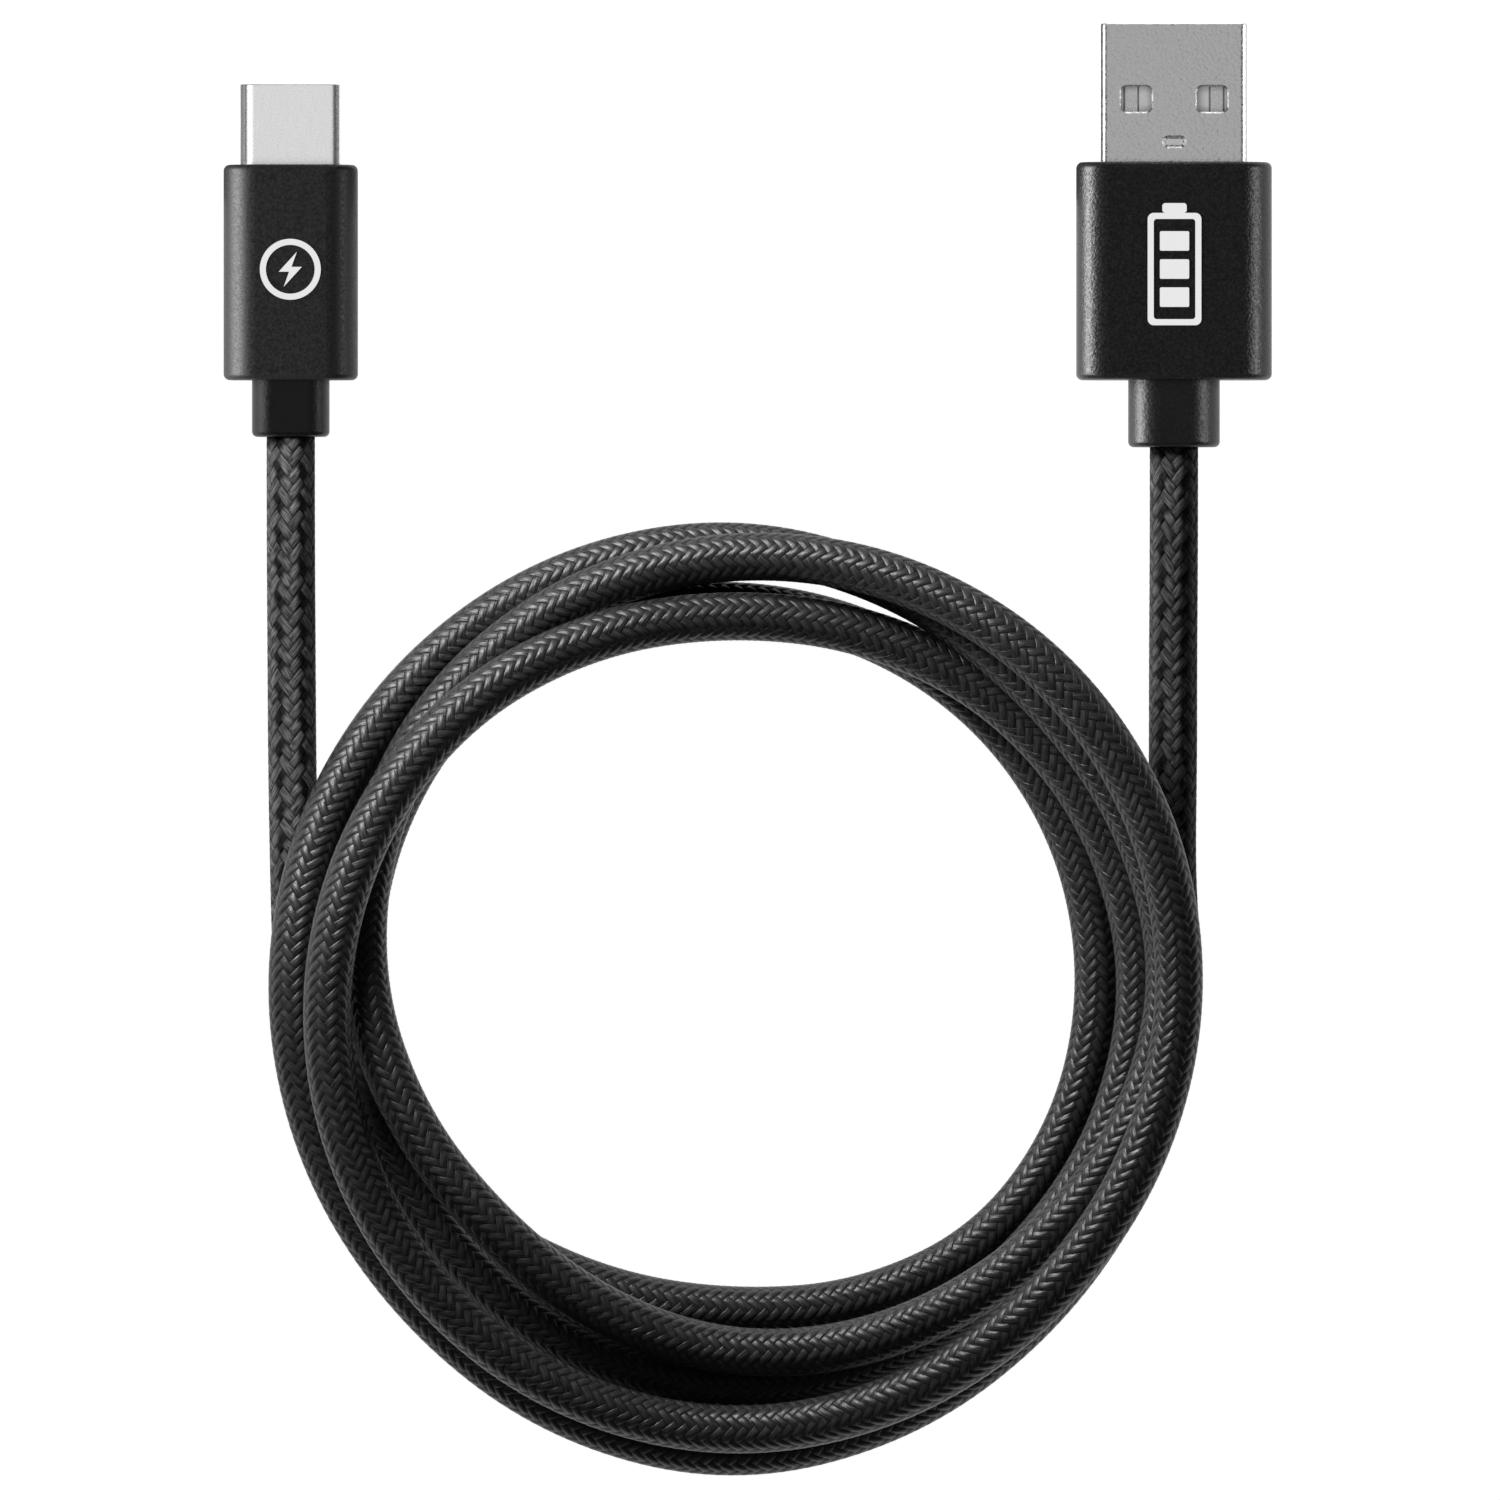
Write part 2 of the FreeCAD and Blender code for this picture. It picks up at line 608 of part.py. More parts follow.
def cord_nodes():
    """The free cord: two leads and the coil between them."""
    return {
        "usb_c_lead": bent_tube(C_LEAD, CORD_D),
        "cable_coil": cable_coil(),
        "usb_a_lead": bent_tube(A_LEAD, CORD_D),
    }


def build():
    """All nodes by name, each where it lies."""
    nodes = {}
    for plug, plug_pieces in ((USB_A, usb_a_nodes()), (USB_C, usb_c_nodes())):
        for name, shape in plug_pieces.items():
            shape.translate(Vector(plug.x, 0, plug.housing_height / 2))
            nodes[name] = shape
    nodes.update(cord_nodes())
    return nodes


def report_leads(nodes):
    """Print each lead's bend radii, and its volume beside its section times its length."""
    for name, route in (("usb_c_lead", C_LEAD), ("usb_a_lead", A_LEAD)):
        path, radii = bent_path(route)
        expected = math.pi * CORD_D ** 2 / 4 * path.Length
        print(name, "radii", [round(r, 1) for r in radii], "length", round(path.Length, 2),
              "volume", round(nodes[name].Volume, 2), "expected", round(expected, 2))


def main():
    os.makedirs("parts", exist_ok=True)
    nodes = build()
    for name, shape in nodes.items():
        shape.exportStep(f"parts/{name}.step")
    report_leads(nodes)


main()
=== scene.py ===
import bpy
import json
import math
import numpy as np
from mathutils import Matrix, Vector

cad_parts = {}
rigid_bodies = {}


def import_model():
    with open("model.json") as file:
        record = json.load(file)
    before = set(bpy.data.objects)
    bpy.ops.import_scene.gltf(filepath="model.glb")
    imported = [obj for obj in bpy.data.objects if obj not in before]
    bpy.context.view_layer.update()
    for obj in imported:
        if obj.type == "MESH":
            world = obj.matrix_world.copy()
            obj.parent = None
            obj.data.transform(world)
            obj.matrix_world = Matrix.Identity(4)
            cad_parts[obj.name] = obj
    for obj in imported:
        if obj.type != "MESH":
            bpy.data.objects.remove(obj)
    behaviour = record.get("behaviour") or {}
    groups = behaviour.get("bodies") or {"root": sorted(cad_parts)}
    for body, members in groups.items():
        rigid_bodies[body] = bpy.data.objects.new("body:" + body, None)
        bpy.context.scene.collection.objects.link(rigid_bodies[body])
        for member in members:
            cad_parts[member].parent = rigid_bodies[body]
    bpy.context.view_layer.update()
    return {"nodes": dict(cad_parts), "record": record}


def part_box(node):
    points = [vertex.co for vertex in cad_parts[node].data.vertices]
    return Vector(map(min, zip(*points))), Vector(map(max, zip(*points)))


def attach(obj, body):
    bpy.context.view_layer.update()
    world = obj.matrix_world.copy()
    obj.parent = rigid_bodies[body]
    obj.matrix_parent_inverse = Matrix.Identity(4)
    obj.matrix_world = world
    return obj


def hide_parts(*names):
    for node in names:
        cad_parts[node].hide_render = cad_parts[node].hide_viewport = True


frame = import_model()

# The braided charging cable: CAD plugs, with one woven cord between them wound in a loose coil.
# The cord's route and braid are in millimetres, as in part.py; Blender's own scene is in metres.

MM = 0.001
NODES = frame["nodes"]

# The cord, and the listed routes of its two straight leads, from relief to coil.
CORD_D = 4.0
C_LEAD = [(-37.45, -16.5, 3.25), (-37.45, -24.5, 3.25), (-37.4, -34.5, 2.0), (-37.35, -43.0, 2.0)]
A_LEAD = [(34.95, -17.35, 4.0), (34.95, -25.0, 4.0), (34.9, -35.0, 2.0), (34.9, -43.0, 2.0)]
C_LEAD_JOINS_COIL = (-37.2, -52.0, 2.0)
A_LEAD_JOINS_COIL = (34.75, -53.0, 2.0)

# The coil was wound by hand, so each turn has its own reach from the middle. It lies on the turns
# that it crosses, so it also has a layer, 0 on the table. Both are given at the left, lower left,
# bottom, lower right, right, upper right, top and upper left of each turn. A half layer eases a climb.
COIL_MIDDLE = (-1.25, -61.4)
COIL_TURNS = [
    [(35.0, 0), (28.5, 0), (26.5, 0), (29.5, 0), (30.0, 0), (30.5, 0), (31.0, 0), (32.0, 0)],
    [(30.5, 1), (31.5, 1), (33.0, 0), (32.5, 1), (33.5, 1), (32.0, 1), (30.0, 1), (31.5, 2)],
    [(33.0, 3), (35.0, 2), (36.5, 1), (36.0, 3), (36.5, 3), (36.5, 3), (35.0, 1), (33.0, 1)],
    [(30.0, 2), (27.5, 2), (30.0, 1), (32.5, 2), (36.0, 2), (34.5, 2), (36.0, 0), (36.0, 0)],
    [(36.0, 1.5), (36.5, 0), (38.5, 0), (36.5, 0), (36.0, 0)],
]
LAYER_RISE = 3.75       # a little under the cord's thickness, because the braid gives where it rests
STATIONS_PER_TURN = 8
POINTS_PER_STATION = 2
COIL_START_ANGLE = math.pi

# The braid. Yarns run both ways round the cord, each over two and under two of the others.
LINE_STEPS = 24         # steps that the spline is read in between two control points
RING_SPACING = 0.25
RING_POINTS = 72
LEAD_BRAID_LENGTH = 46.0
# A braid's dark and light are its yarns' shades in the hollows and on top; the darker hollows are painted
# shade.
COARSE = {
    "yarns": 12, "pitch": 1.3, "depth": 0.16, "flatness": 4.0,
    "dark": 0.018, "light": 0.08, "shadow": 0.95, "thread_contrast": 0.9, "thread_depth": 0.04,
    "rough": 0.55, "specular": 0.1,
}
FINE = {
    "yarns": 12, "pitch": 1.0, "depth": 0.13, "flatness": 2.0,
    "dark": 0.012, "light": 0.026, "shadow": 0.0, "thread_contrast": 0.6, "thread_depth": 0.03,
    "rough": 0.38, "specular": 0.35,
}
FLOAT_END = 0.45        # a yarn's height where it dives, as a share of its height where it is on top
TOP_SEAM = 0.25         # brings the line between two columns of yarn to the top of the cord
BRAID_UV = "braid"

# The braid's shading.
RELIEF_DARK = 0.35      # heights in the braid, 0 to 1, between which a yarn goes from its dark painted shade in the hollows to its light shade on top
RELIEF_LIGHT = 0.95
SHADED_RELIEF = 0.6     # the share of the braid's depth that the shading adds to the real relief
THREAD_STRETCH = (7.0, 0.8, 5.0)    # of the thread noise: across a yarn, along it and from yarn to yarn
FALLING_YARN_SHIFT = 0.37           # keeps the falling yarns' noise apart from the rising yarns'
YARN_SHADE_SWING = 0.2
YARN_GLOSS_SWING = 0.08
WEAK_SHADOW = 0.4       # the shadow of every other yarn, as a share of its neighbour's

# The other finishes. Sizes are in millimetres, and a swing is how far noise moves a value either way.
NOISE_LOW = 0.3         # Blender's noise lies mostly between these two values
NOISE_HIGH = 0.7
FINE_SHARE = 0.6        # of a grained surface's unevenness; broad blotches make up the rest
BROAD_BLOTCHES = 25     # the size of a grained surface's blotches, in grains
GRAIN_GLOSS_SWING = 0.07
CASING_BLOTCHES = 30
CASING_SHADE_SWING = 0.3
CASING_GLOSS_SWING = 0.09
WORN_REACH = 0.6        # how far the wear reaches from a casing's end edges
WORN_GAIN = 1.5         # how much paler a worn edge is, in times the casing's own shade
WORN_LEAST = 0.2        # the wear goes from this to 1 as the broad noise goes through the next two values
WORN_NOISE = (0.4, 0.6)
BRUSH_STRETCH = (9000.0, 500.0, 9000.0)     # noise cells to the metre across the plug, along it and down
BRUSH_SHADE_SWING = 0.03
BRUSH_GLOSS_SWING = 0.06
BRUSH_TOOTH = 0.12

# The USB-A tongue's plastic goes from its light shade to a dark painted shade, for the grooves beside
# the contacts, between these depths below the contacts' tops.
TONGUE_LIGHT = 0.34
TONGUE_DARK = 0.04
TONGUE_LIGHT_DEPTH = 0.1
TONGUE_DARK_DEPTH = 0.2
TONGUE_GRAIN = 0.2
TONGUE_GRAIN_DEPTH = 0.006
TONGUE_SHADE_SWING = 0.06
TONGUE_ROUGHNESS = 0.5

# The camera looks straight down from far enough away to look flat. The picture's width is taken
# at the height of the plugs' middles.
PICTURE_WIDTH = 0.12295
PICTURE_MIDDLE = (0.0002, -0.04217)
CAMERA_HEIGHT = 3.0
PLUG_MIDDLE_HEIGHT = 0.004
SENSOR_WIDTH = 36.0
CAMERA_REACH = 10.0

# The studio, in metres: a dim room, a glowing paper floor with two dark cards on it, and square soft
# lamps that each light one group of parts. A group has the start of its nodes' names, and its slots.
# A card has a start and an end across, from its side of the USB-C shell, and a glow.
# A lamp has its group, or the cord, then a place, the width of its face and its radiance.
ROOM_LEVEL = 0.06
FLOOR_HALF = 10.0
FLOOR_HEIGHT = -0.00005     # just clear of the housings' flat undersides
FLOOR_GLOW = 0.97
PAPER_SHADE = 0.9
PAPER_GRAIN = 1.5
PAPER_GRAIN_DEPTH = 0.01
PAPER_ROUGHNESS = 0.9
PAPER_CONTRAST = 0.01
CARD_LIFT = 0.0002
CARD_LENGTH = 0.06
CARDS = [
    ("card_left", -0.045, 0.0, 0.17),
    ("card_right", 0.007, 0.06, 0.02),
]
LIT_PARTS = {
    "steel": ("usb", ("shell_satin_steel", "plug_steel", "contact_metal")),
    "c steel": ("usb_c", ("shell_satin_steel",)),
    "a steel": ("usb_a", ("plug_steel", "contact_metal")),
    "pale plastic": ("usb", ("mark_ink", "insulator_plastic")),
    "c casing": ("usb_c", ("usb_c_casing",)),
    "c relief": ("usb_c", ("relief_rubber",)),
    "a casing": ("usb_a", ("usb_a_casing", "relief_rubber")),
}
LAMPS = [
    ("steel_front", "steel", (0.0, -0.70, 0.36), 0.60, 0.45),
    ("c_steel_top", "c steel", (0.17, 0.0, 0.56), 0.70, 0.70),
    ("c_steel_left", "c steel", (-0.40, 0.0, 0.46), 0.50, 1.5),
    ("a_steel_top", "a steel", (0.0, 0.0, 0.60), 0.32, 0.62),
    ("a_steel_left", "a steel", (-0.30, 0.0, 0.15), 0.28, 2.1),
    ("a_steel_right", "a steel", (0.30, 0.0, 0.14), 0.26, 2.3),
    ("a_steel_key", "a steel", (0.03, 0.30, 0.10), 0.18, 3.0),
    ("pale_top", "pale plastic", (0.0, 0.0, 0.60), 0.32, 11.0),
    ("c_casing_left", "c casing", (-0.30, 0.0, 0.08), 0.26, 12.0),
    ("c_casing_right", "c casing", (0.30, 0.0, 0.155), 0.12, 5.0),
    ("c_relief_top", "c relief", (0.0, 0.0, 0.60), 0.32, 0.3),
    ("c_relief_left", "c relief", (-0.30, 0.0, 0.08), 0.26, 2.5),
    ("c_relief_right", "c relief", (0.30, 0.0, 0.155), 0.12, 3.5),
    ("a_casing_left", "a casing", (-0.30, 0.0, 0.055), 0.20, 20.0),
    ("a_casing_right", "a casing", (0.30, 0.0, 0.155), 0.12, 9.0),
    ("cord_key", "cord", (-0.11, 0.09, 0.10), 0.08, 36.0),
    ("cord_rim", "cord", (-0.26, 0.04, 0.03), 0.10, 2.0),
]


# ---------------------------------------------------------------- the cord

def eased(values, place):
    """A value between the stations of a list, on a curve through all of them (Catmull-Rom)."""
    last = len(values) - 1
    first = min(int(place), last - 1)
    step = place - first
    before, start, end, after = (values[min(max(first + k, 0), last)] for k in (-1, 0, 1, 2))
    straight = (end - before) * step
    bend = (2 * before - 5 * start + 4 * end - after) * step ** 2
    twist = (3 * start - before - 3 * end + after) * step ** 3
    return start + (straight + bend + twist) / 2


def coil_points():
    """Control points round the coil, from the left of its first turn to the right of its last."""
    stations = [station for turn in COIL_TURNS for station in turn]
    reaches = [reach for reach, _ in stations]
    heights = [CORD_D / 2 + layer * LAYER_RISE for _, layer in stations]
    step = 2 * math.pi / (STATIONS_PER_TURN * POINTS_PER_STATION)
    points = []
    for count in range((len(stations) - 1) * POINTS_PER_STATION + 1):
        place = count / POINTS_PER_STATION
        angle = COIL_START_ANGLE + count * step
        reach = eased(reaches, place) / math.cos(step / 2)
        height = max(eased(heights, place), CORD_D / 2)
        points.append((
            COIL_MIDDLE[0] + reach * math.cos(angle),
            COIL_MIDDLE[1] + reach * math.sin(angle),
            height,
        ))
    return points


def route_line(points):
    """The places along a smooth spline whose control points are the ones given, in millimetres."""
    curve = bpy.data.curves.new("cord_line", "CURVE")
    curve.dimensions = "3D"
    spline = curve.splines.new("NURBS")
    spline.points.add(len(points) - 1)
    for knot, point in zip(spline.points, points):
        knot.co = (*point, 1.0)
    spline.order_u = 3
    spline.use_endpoint_u = True
    spline.resolution_u = LINE_STEPS
    holder = bpy.data.objects.new("cord_line", curve)
    line = bpy.data.meshes.new_from_object(holder)
    places = np.array([vertex.co for vertex in line.vertices], float)
    bpy.data.objects.remove(holder)
    bpy.data.meshes.remove(line)
    return places


def ring_centres(line):
    """Evenly spaced places along the line, with their distances from its start."""
    steps = np.linalg.norm(np.diff(line, axis=0), axis=1)
    distance = np.concatenate([[0], np.cumsum(steps)])
    along = np.linspace(0, distance[-1], round(distance[-1] / RING_SPACING) + 1)
    centres = np.stack([np.interp(along, distance, line[:, axis]) for axis in range(3)], axis=1)
    return centres, along


def braid_relief(turns, along, braid):
    """The braid's height, 0 to 1, at each share of a turn round the cord and distance along it."""
    across_cells = turns * braid["yarns"] + TOP_SEAM
    along_cells = along / braid["pitch"]
    rising = across_cells + along_cells
    falling = across_cells - along_cells
    cell = (np.floor(rising) + np.floor(falling)) % 4
    rising_on_top = cell < 2
    off_rising = rising % 1 - 0.5
    off_falling = falling % 1 - 0.5
    across = np.where(rising_on_top, off_rising, off_falling)
    float_place = np.where(rising_on_top, off_falling, off_rising) + cell % 2 - 0.5
    crown = np.sqrt(1 - np.abs(2 * across) ** braid["flatness"])
    arch = np.sqrt(1 - np.abs(float_place) ** braid["flatness"])
    return crown * (FLOAT_END + (1 - FLOAT_END) * arch)


def cord_mesh(centres, along):
    """A closed tube along the centres, raised and hollowed by the braid, with the braid's own UV map."""
    rings = len(centres)
    ahead = np.gradient(centres, axis=0)
    ahead /= np.linalg.norm(ahead, axis=1, keepdims=True)
    side = np.cross(ahead, (0.0, 0.0, 1.0))
    side /= np.linalg.norm(side, axis=1, keepdims=True)
    up = np.cross(side, ahead)

    turns = np.arange(RING_POINTS) / RING_POINTS
    to_end = along[-1] - along
    is_lead = np.minimum(along, to_end) < LEAD_BRAID_LENGTH
    is_a_lead = to_end < LEAD_BRAID_LENGTH
    from_plug = np.where(is_a_lead, to_end, along)
    coarse = (braid_relief(turns[None, :], from_plug[:, None], COARSE) - 1) * COARSE["depth"]
    fine = (braid_relief(turns[None, :], from_plug[:, None], FINE) - 1) * FINE["depth"]
    reach = CORD_D / 2 + np.where(is_lead[:, None], coarse, fine)

    angle = 2 * math.pi * turns
    upward = up[:, None, :] * np.cos(angle)[None, :, None]
    sideways = side[:, None, :] * np.sin(angle)[None, :, None]
    outward = upward + sideways
    places = centres[:, None, :] + outward * reach[:, :, None]

    ring = np.arange(rings - 1)[:, None] * RING_POINTS
    here = np.arange(RING_POINTS)[None, :]
    after = (here + 1) % RING_POINTS
    next_ring = ring + RING_POINTS
    quads = np.stack([ring + here, ring + after, next_ring + after, next_ring + here], axis=-1)
    caps = [list(range(RING_POINTS))[::-1], list(range((rings - 1) * RING_POINTS, rings * RING_POINTS))]

    mesh = bpy.data.meshes.new("braided_cord")
    mesh.from_pydata((places.reshape(-1, 3) * MM).tolist(), [], quads.reshape(-1, 4).tolist() + caps)
    next_turns = turns + 1 / RING_POINTS
    quad_turns = np.stack([turns, next_turns, next_turns, turns], axis=-1)[None]
    next_from_plug = np.where(is_a_lead[:-1], to_end[1:], along[1:])
    this_from_plug = from_plug[:-1]
    quad_along = np.stack([this_from_plug, this_from_plug, next_from_plug, next_from_plug], axis=-1)
    uv = np.stack(np.broadcast_arrays(quad_turns, quad_along[:, None]), axis=-1).reshape(-1, 2)
    cap_uv = np.zeros((2 * RING_POINTS, 2))
    layer = mesh.uv_layers.new(name=BRAID_UV)
    layer.data.foreach_set("uv", np.concatenate([uv, cap_uv]).ravel())
    finish_index = np.repeat(np.where(is_lead[:-1], 0, 1), RING_POINTS)
    mesh.polygons.foreach_set("material_index", np.concatenate([finish_index, [0, 0]]).astype(np.int32))
    mesh.polygons.foreach_set("use_smooth", np.ones(len(mesh.polygons), bool))
    mesh.update()
    return mesh


def make_cord():
    """The cord from plug to plug as one woven tube, in place of the three CAD solids."""
    points = C_LEAD + [C_LEAD_JOINS_COIL] + coil_points() + [A_LEAD_JOINS_COIL] + A_LEAD[::-1]
    centres, along = ring_centres(route_line(points))
    mesh = cord_mesh(centres, along)
    mesh.materials.append(braid_finish("braid_leads", COARSE))
    mesh.materials.append(braid_finish("braid_coil", FINE))
    cord = bpy.data.objects.new("braided_cord", mesh)
    bpy.context.scene.collection.objects.link(cord)
    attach(cord, "root")
    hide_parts("usb_c_lead", "cable_coil", "usb_a_lead")
    return cord


# ---------------------------------------------------------------- finishes

class Finish:
    """A material's node tree, with a short call for each kind of node."""

    def __init__(self, name):
        self.material = bpy.data.materials.new(name)
        self.material.use_nodes = True
        self.tree = self.material.node_tree
        self.shader = self.tree.nodes["Principled BSDF"]

    def feed(self, socket, value):
        if isinstance(value, bpy.types.NodeSocket):
            self.tree.links.new(value, socket)
        else:
            socket.default_value = value

    def node(self, kind, **inputs):
        made = self.tree.nodes.new(kind)
        for name, value in inputs.items():
            self.feed(made.inputs[name], value)
        return made

    def math(self, operation, *values):
        made = self.tree.nodes.new("ShaderNodeMath")
        made.operation = operation
        for socket, value in zip(made.inputs, values):
            self.feed(socket, value)
        return made.outputs[0]

    def dome(self, place, flatness):
        """1 in the middle and 0 at -1 and 1, flatter on top as the flatness grows."""
        fall = self.math("POWER", self.math("ABSOLUTE", place), flatness)
        return self.math("SQRT", self.math("MAXIMUM", self.math("SUBTRACT", 1.0, fall), 0.0))

    def object_place(self):
        return self.tree.nodes.new("ShaderNodeTexCoord").outputs["Object"]

    def stretched(self, place, factors):
        made = self.tree.nodes.new("ShaderNodeVectorMath")
        made.operation = "MULTIPLY"
        self.feed(made.inputs[0], place)
        made.inputs[1].default_value = factors
        return made.outputs[0]

    def noise(self, place, size, detail=2.0):
        """Noise from 0 to 1 whose blobs are about this many millimetres across."""
        made = self.node("ShaderNodeTexNoise", Vector=place, Scale=1 / (size * MM), Detail=detail)
        return made.outputs[0]

    def spread(self, value, low, high, start=0.0, end=1.0):
        """Maps start to end of a value onto low to high. It stays at low or high beyond them."""
        made = self.tree.nodes.new("ShaderNodeMapRange")
        for socket, given in zip(made.inputs, (value, start, end, low, high)):
            self.feed(socket, given)
        return made.outputs[0]

    def swing(self, noise, middle, reach):
        """Lets noise move a value this far either way of its middle."""
        return self.spread(noise, middle - reach, middle + reach, NOISE_LOW, NOISE_HIGH)

    def colour(self, factor, low, high):
        made = self.tree.nodes.new("ShaderNodeMix")
        made.data_type = "RGBA"
        for name, value in (("Factor_Float", factor), ("A_Color", (*low, 1)), ("B_Color", (*high, 1))):
            socket = next(s for s in made.inputs if s.identifier == name)
            self.feed(socket, value)
        return next(s for s in made.outputs if s.identifier == "Result_Color")

    def bump(self, height, depth, normal=None):
        """Raises the surface by this many millimetres where the height is 1."""
        made = self.node("ShaderNodeBump", Height=height, Distance=depth * MM)
        if normal is not None:
            self.feed(made.inputs["Normal"], normal)
        return made.outputs[0]

    def set(self, **sockets):
        """Feeds the shader's sockets. Their names have _ for each space."""
        for name, value in sockets.items():
            self.feed(self.shader.inputs[name.replace("_", " ")], value)


def grey(level):
    return (level, level, level)


def braid_finish(name, braid):
    """Filament yarns of fine threads, with painted shade where they dive under each other."""
    finish = Finish(name)
    uv = finish.node("ShaderNodeUVMap")
    uv.uv_map = BRAID_UV
    split = finish.node("ShaderNodeSeparateXYZ", Vector=uv.outputs[0])
    across_cells = finish.math("MULTIPLY_ADD", split.outputs[0], float(braid["yarns"]), TOP_SEAM)
    along_cells = finish.math("DIVIDE", split.outputs[1], braid["pitch"])
    rising = finish.math("ADD", across_cells, along_cells)
    falling = finish.math("SUBTRACT", across_cells, along_cells)
    rising_yarn = finish.math("FLOOR", rising)
    falling_yarn = finish.math("FLOOR", falling)
    cell = finish.math("FLOORED_MODULO", finish.math("ADD", rising_yarn, falling_yarn), 4.0)
    rising_on_top = finish.math("LESS_THAN", cell, 1.5)
    off_rising = finish.math("SUBTRACT", finish.math("SUBTRACT", rising, rising_yarn), 0.5)
    off_falling = finish.math("SUBTRACT", finish.math("SUBTRACT", falling, falling_yarn), 0.5)
    across = finish.spread(rising_on_top, off_falling, off_rising)
    lengthwise = finish.spread(rising_on_top, off_rising, off_falling)
    shifted_yarn = finish.math("ADD", falling_yarn, FALLING_YARN_SHIFT)
    yarn = finish.spread(rising_on_top, shifted_yarn, rising_yarn)
    half = finish.math("SUBTRACT", finish.math("FLOORED_MODULO", cell, 2.0), 0.5)
    float_place = finish.math("ADD", lengthwise, half)

    crown = finish.dome(finish.math("MULTIPLY", across, 2.0), braid["flatness"])
    arch = finish.dome(float_place, braid["flatness"])
    relief = finish.math("MULTIPLY", crown, finish.spread(arch, FLOAT_END, 1.0))

    thread_place = finish.node("ShaderNodeCombineXYZ", X=across, Y=float_place, Z=yarn).outputs[0]
    stretched_place = finish.stretched(thread_place, THREAD_STRETCH)
    threads = finish.node("ShaderNodeTexNoise", Vector=stretched_place, Scale=1.0, Detail=2.0).outputs[0]
    yarn_place = finish.node("ShaderNodeCombineXYZ", X=yarn, Y=rising_on_top).outputs[0]
    yarn_shade = finish.node("ShaderNodeTexWhiteNoise", Vector=yarn_place).outputs[0]

    # One half of each float is in shadow, which grows from the float's middle until half way to its end.
    shadow_place = finish.math("MULTIPLY", float_place, finish.spread(rising_on_top, -1.0, 1.0))
    every_other = finish.math("FLOORED_MODULO", finish.math("FLOOR", yarn), 2.0)
    shadow = finish.math("MULTIPLY", finish.spread(shadow_place, 0.0, 1.0, 0.0, 0.5), braid["shadow"])
    shadow = finish.math("MULTIPLY", shadow, finish.spread(every_other, WEAK_SHADOW, 1.0))

    # Painted shade: the yarns darken from their crowns down into the hollows where they dive.
    shade = finish.spread(relief, braid["dark"], braid["light"], RELIEF_DARK, RELIEF_LIGHT)
    shade = finish.math("MULTIPLY", shade, finish.math("SUBTRACT", 1.0, shadow))
    shade = finish.math("MULTIPLY", shade, finish.swing(threads, 1.0, braid["thread_contrast"]))
    yarn_swing = finish.spread(yarn_shade, 1 - YARN_SHADE_SWING, 1 + YARN_SHADE_SWING)
    shade = finish.math("MULTIPLY", shade, yarn_swing)
    finish.set(Base_Color=finish.colour(shade, grey(0.0), grey(1.0)))
    finish.set(Roughness=finish.swing(threads, braid["rough"], YARN_GLOSS_SWING))
    finish.set(Specular_IOR_Level=braid["specular"])
    thread_normal = finish.bump(threads, braid["thread_depth"])
    finish.set(Normal=finish.bump(relief, braid["depth"] * SHADED_RELIEF, thread_normal))
    return finish.material


def grained(name, colour, grain, depth, roughness, metal=0.0, specular=0.5, contrast=0.25):
    """A surface with a grain of this size and depth, slightly uneven in shade and gloss."""
    finish = Finish(name)
    place = finish.object_place()
    fine = finish.noise(place, grain)
    broad = finish.noise(place, grain * BROAD_BLOTCHES)
    fine_part = finish.math("MULTIPLY", fine, FINE_SHARE)
    broad_part = finish.math("MULTIPLY", broad, 1 - FINE_SHARE)
    uneven = finish.math("ADD", fine_part, broad_part)
    low = [level * (1 - contrast) for level in colour]
    high = [level * (1 + contrast) for level in colour]
    finish.set(Base_Color=finish.colour(finish.swing(uneven, 0.5, 0.5), low, high))
    finish.set(Roughness=finish.swing(uneven, roughness, GRAIN_GLOSS_SWING))
    finish.set(Metallic=metal, Normal=finish.bump(fine, depth), Specular_IOR_Level=specular)
    return finish.material


def casing_finish(name, node, level, grain, depth, roughness, specular):
    """Black moulded plastic with a spark grain, rubbed a little paler round its two end edges."""
    finish = Finish(name)
    low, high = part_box(node)
    place = finish.object_place()
    split = finish.node("ShaderNodeSeparateXYZ", Vector=place)
    fine = finish.noise(place, grain)
    broad = finish.noise(place, grain * CASING_BLOTCHES)
    middle = (low.y + high.y) / 2
    from_middle = finish.math("ABSOLUTE", finish.math("SUBTRACT", split.outputs[1], middle))
    half = (high.y - low.y) / 2
    near_end = finish.spread(from_middle, 0.0, 1.0, half - WORN_REACH * MM, half)
    worn = finish.math("MULTIPLY", near_end, finish.spread(broad, WORN_LEAST, 1.0, *WORN_NOISE))
    shade = finish.math("MULTIPLY", finish.swing(fine, 1.0, CASING_SHADE_SWING), level)
    shade = finish.math("ADD", shade, finish.math("MULTIPLY", worn, level * WORN_GAIN))
    finish.set(Base_Color=finish.colour(shade, grey(0.0), grey(1.0)))
    finish.set(Roughness=finish.swing(fine, roughness, CASING_GLOSS_SWING))
    finish.set(Normal=finish.bump(fine, depth), Specular_IOR_Level=specular)
    return finish.material


